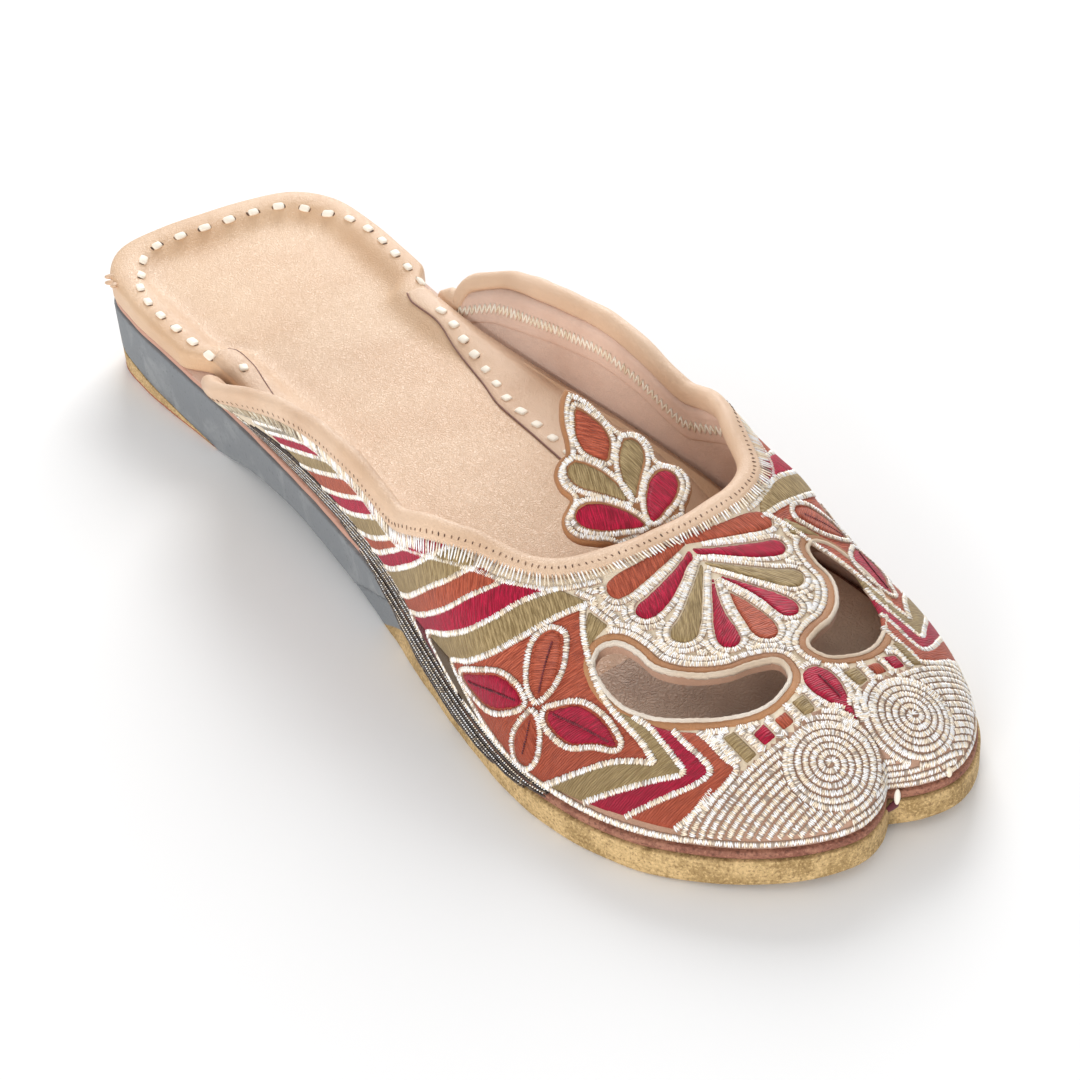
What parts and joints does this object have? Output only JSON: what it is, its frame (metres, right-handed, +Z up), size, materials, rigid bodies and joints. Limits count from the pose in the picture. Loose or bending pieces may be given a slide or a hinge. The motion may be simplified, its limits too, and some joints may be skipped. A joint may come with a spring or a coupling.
{
  "type": "backless slipper",
  "caption": "Backless leather slipper with an embroidered upper, a notched toe, two crescent cut-outs and a lobed tab standing at the throat.",
  "frame": {"origin": "on the ground under the middle of the heel, on the shoe's centre line", "axes": "+X towards the toe, +Y to the wearer's left, +Z up; the shoe stands on z = 0"},
  "size_m": [0.2489, 0.0849, 0.0469],
  "materials": {
    "sole_leather": "waxed cut edge",
    "wedge_board": "matt painted",
    "midsole_leather": "matt",
    "footbed_leather": "smooth, semi-matt",
    "upper_leather": "covered with metallic and silk thread",
    "binding_leather": "smooth, semi-matt"
  },
  "bodies": {
    "root": {"outsole": "sole_leather", "heel_wedge": "wedge_board", "heel_lift": "sole_leather", "midsole": "midsole_leather", "insole": "footbed_leather", "upper": "upper_leather", "topline_binding": "binding_leather", "throat_tab": "upper_leather"}
  },
  "joints": []
}
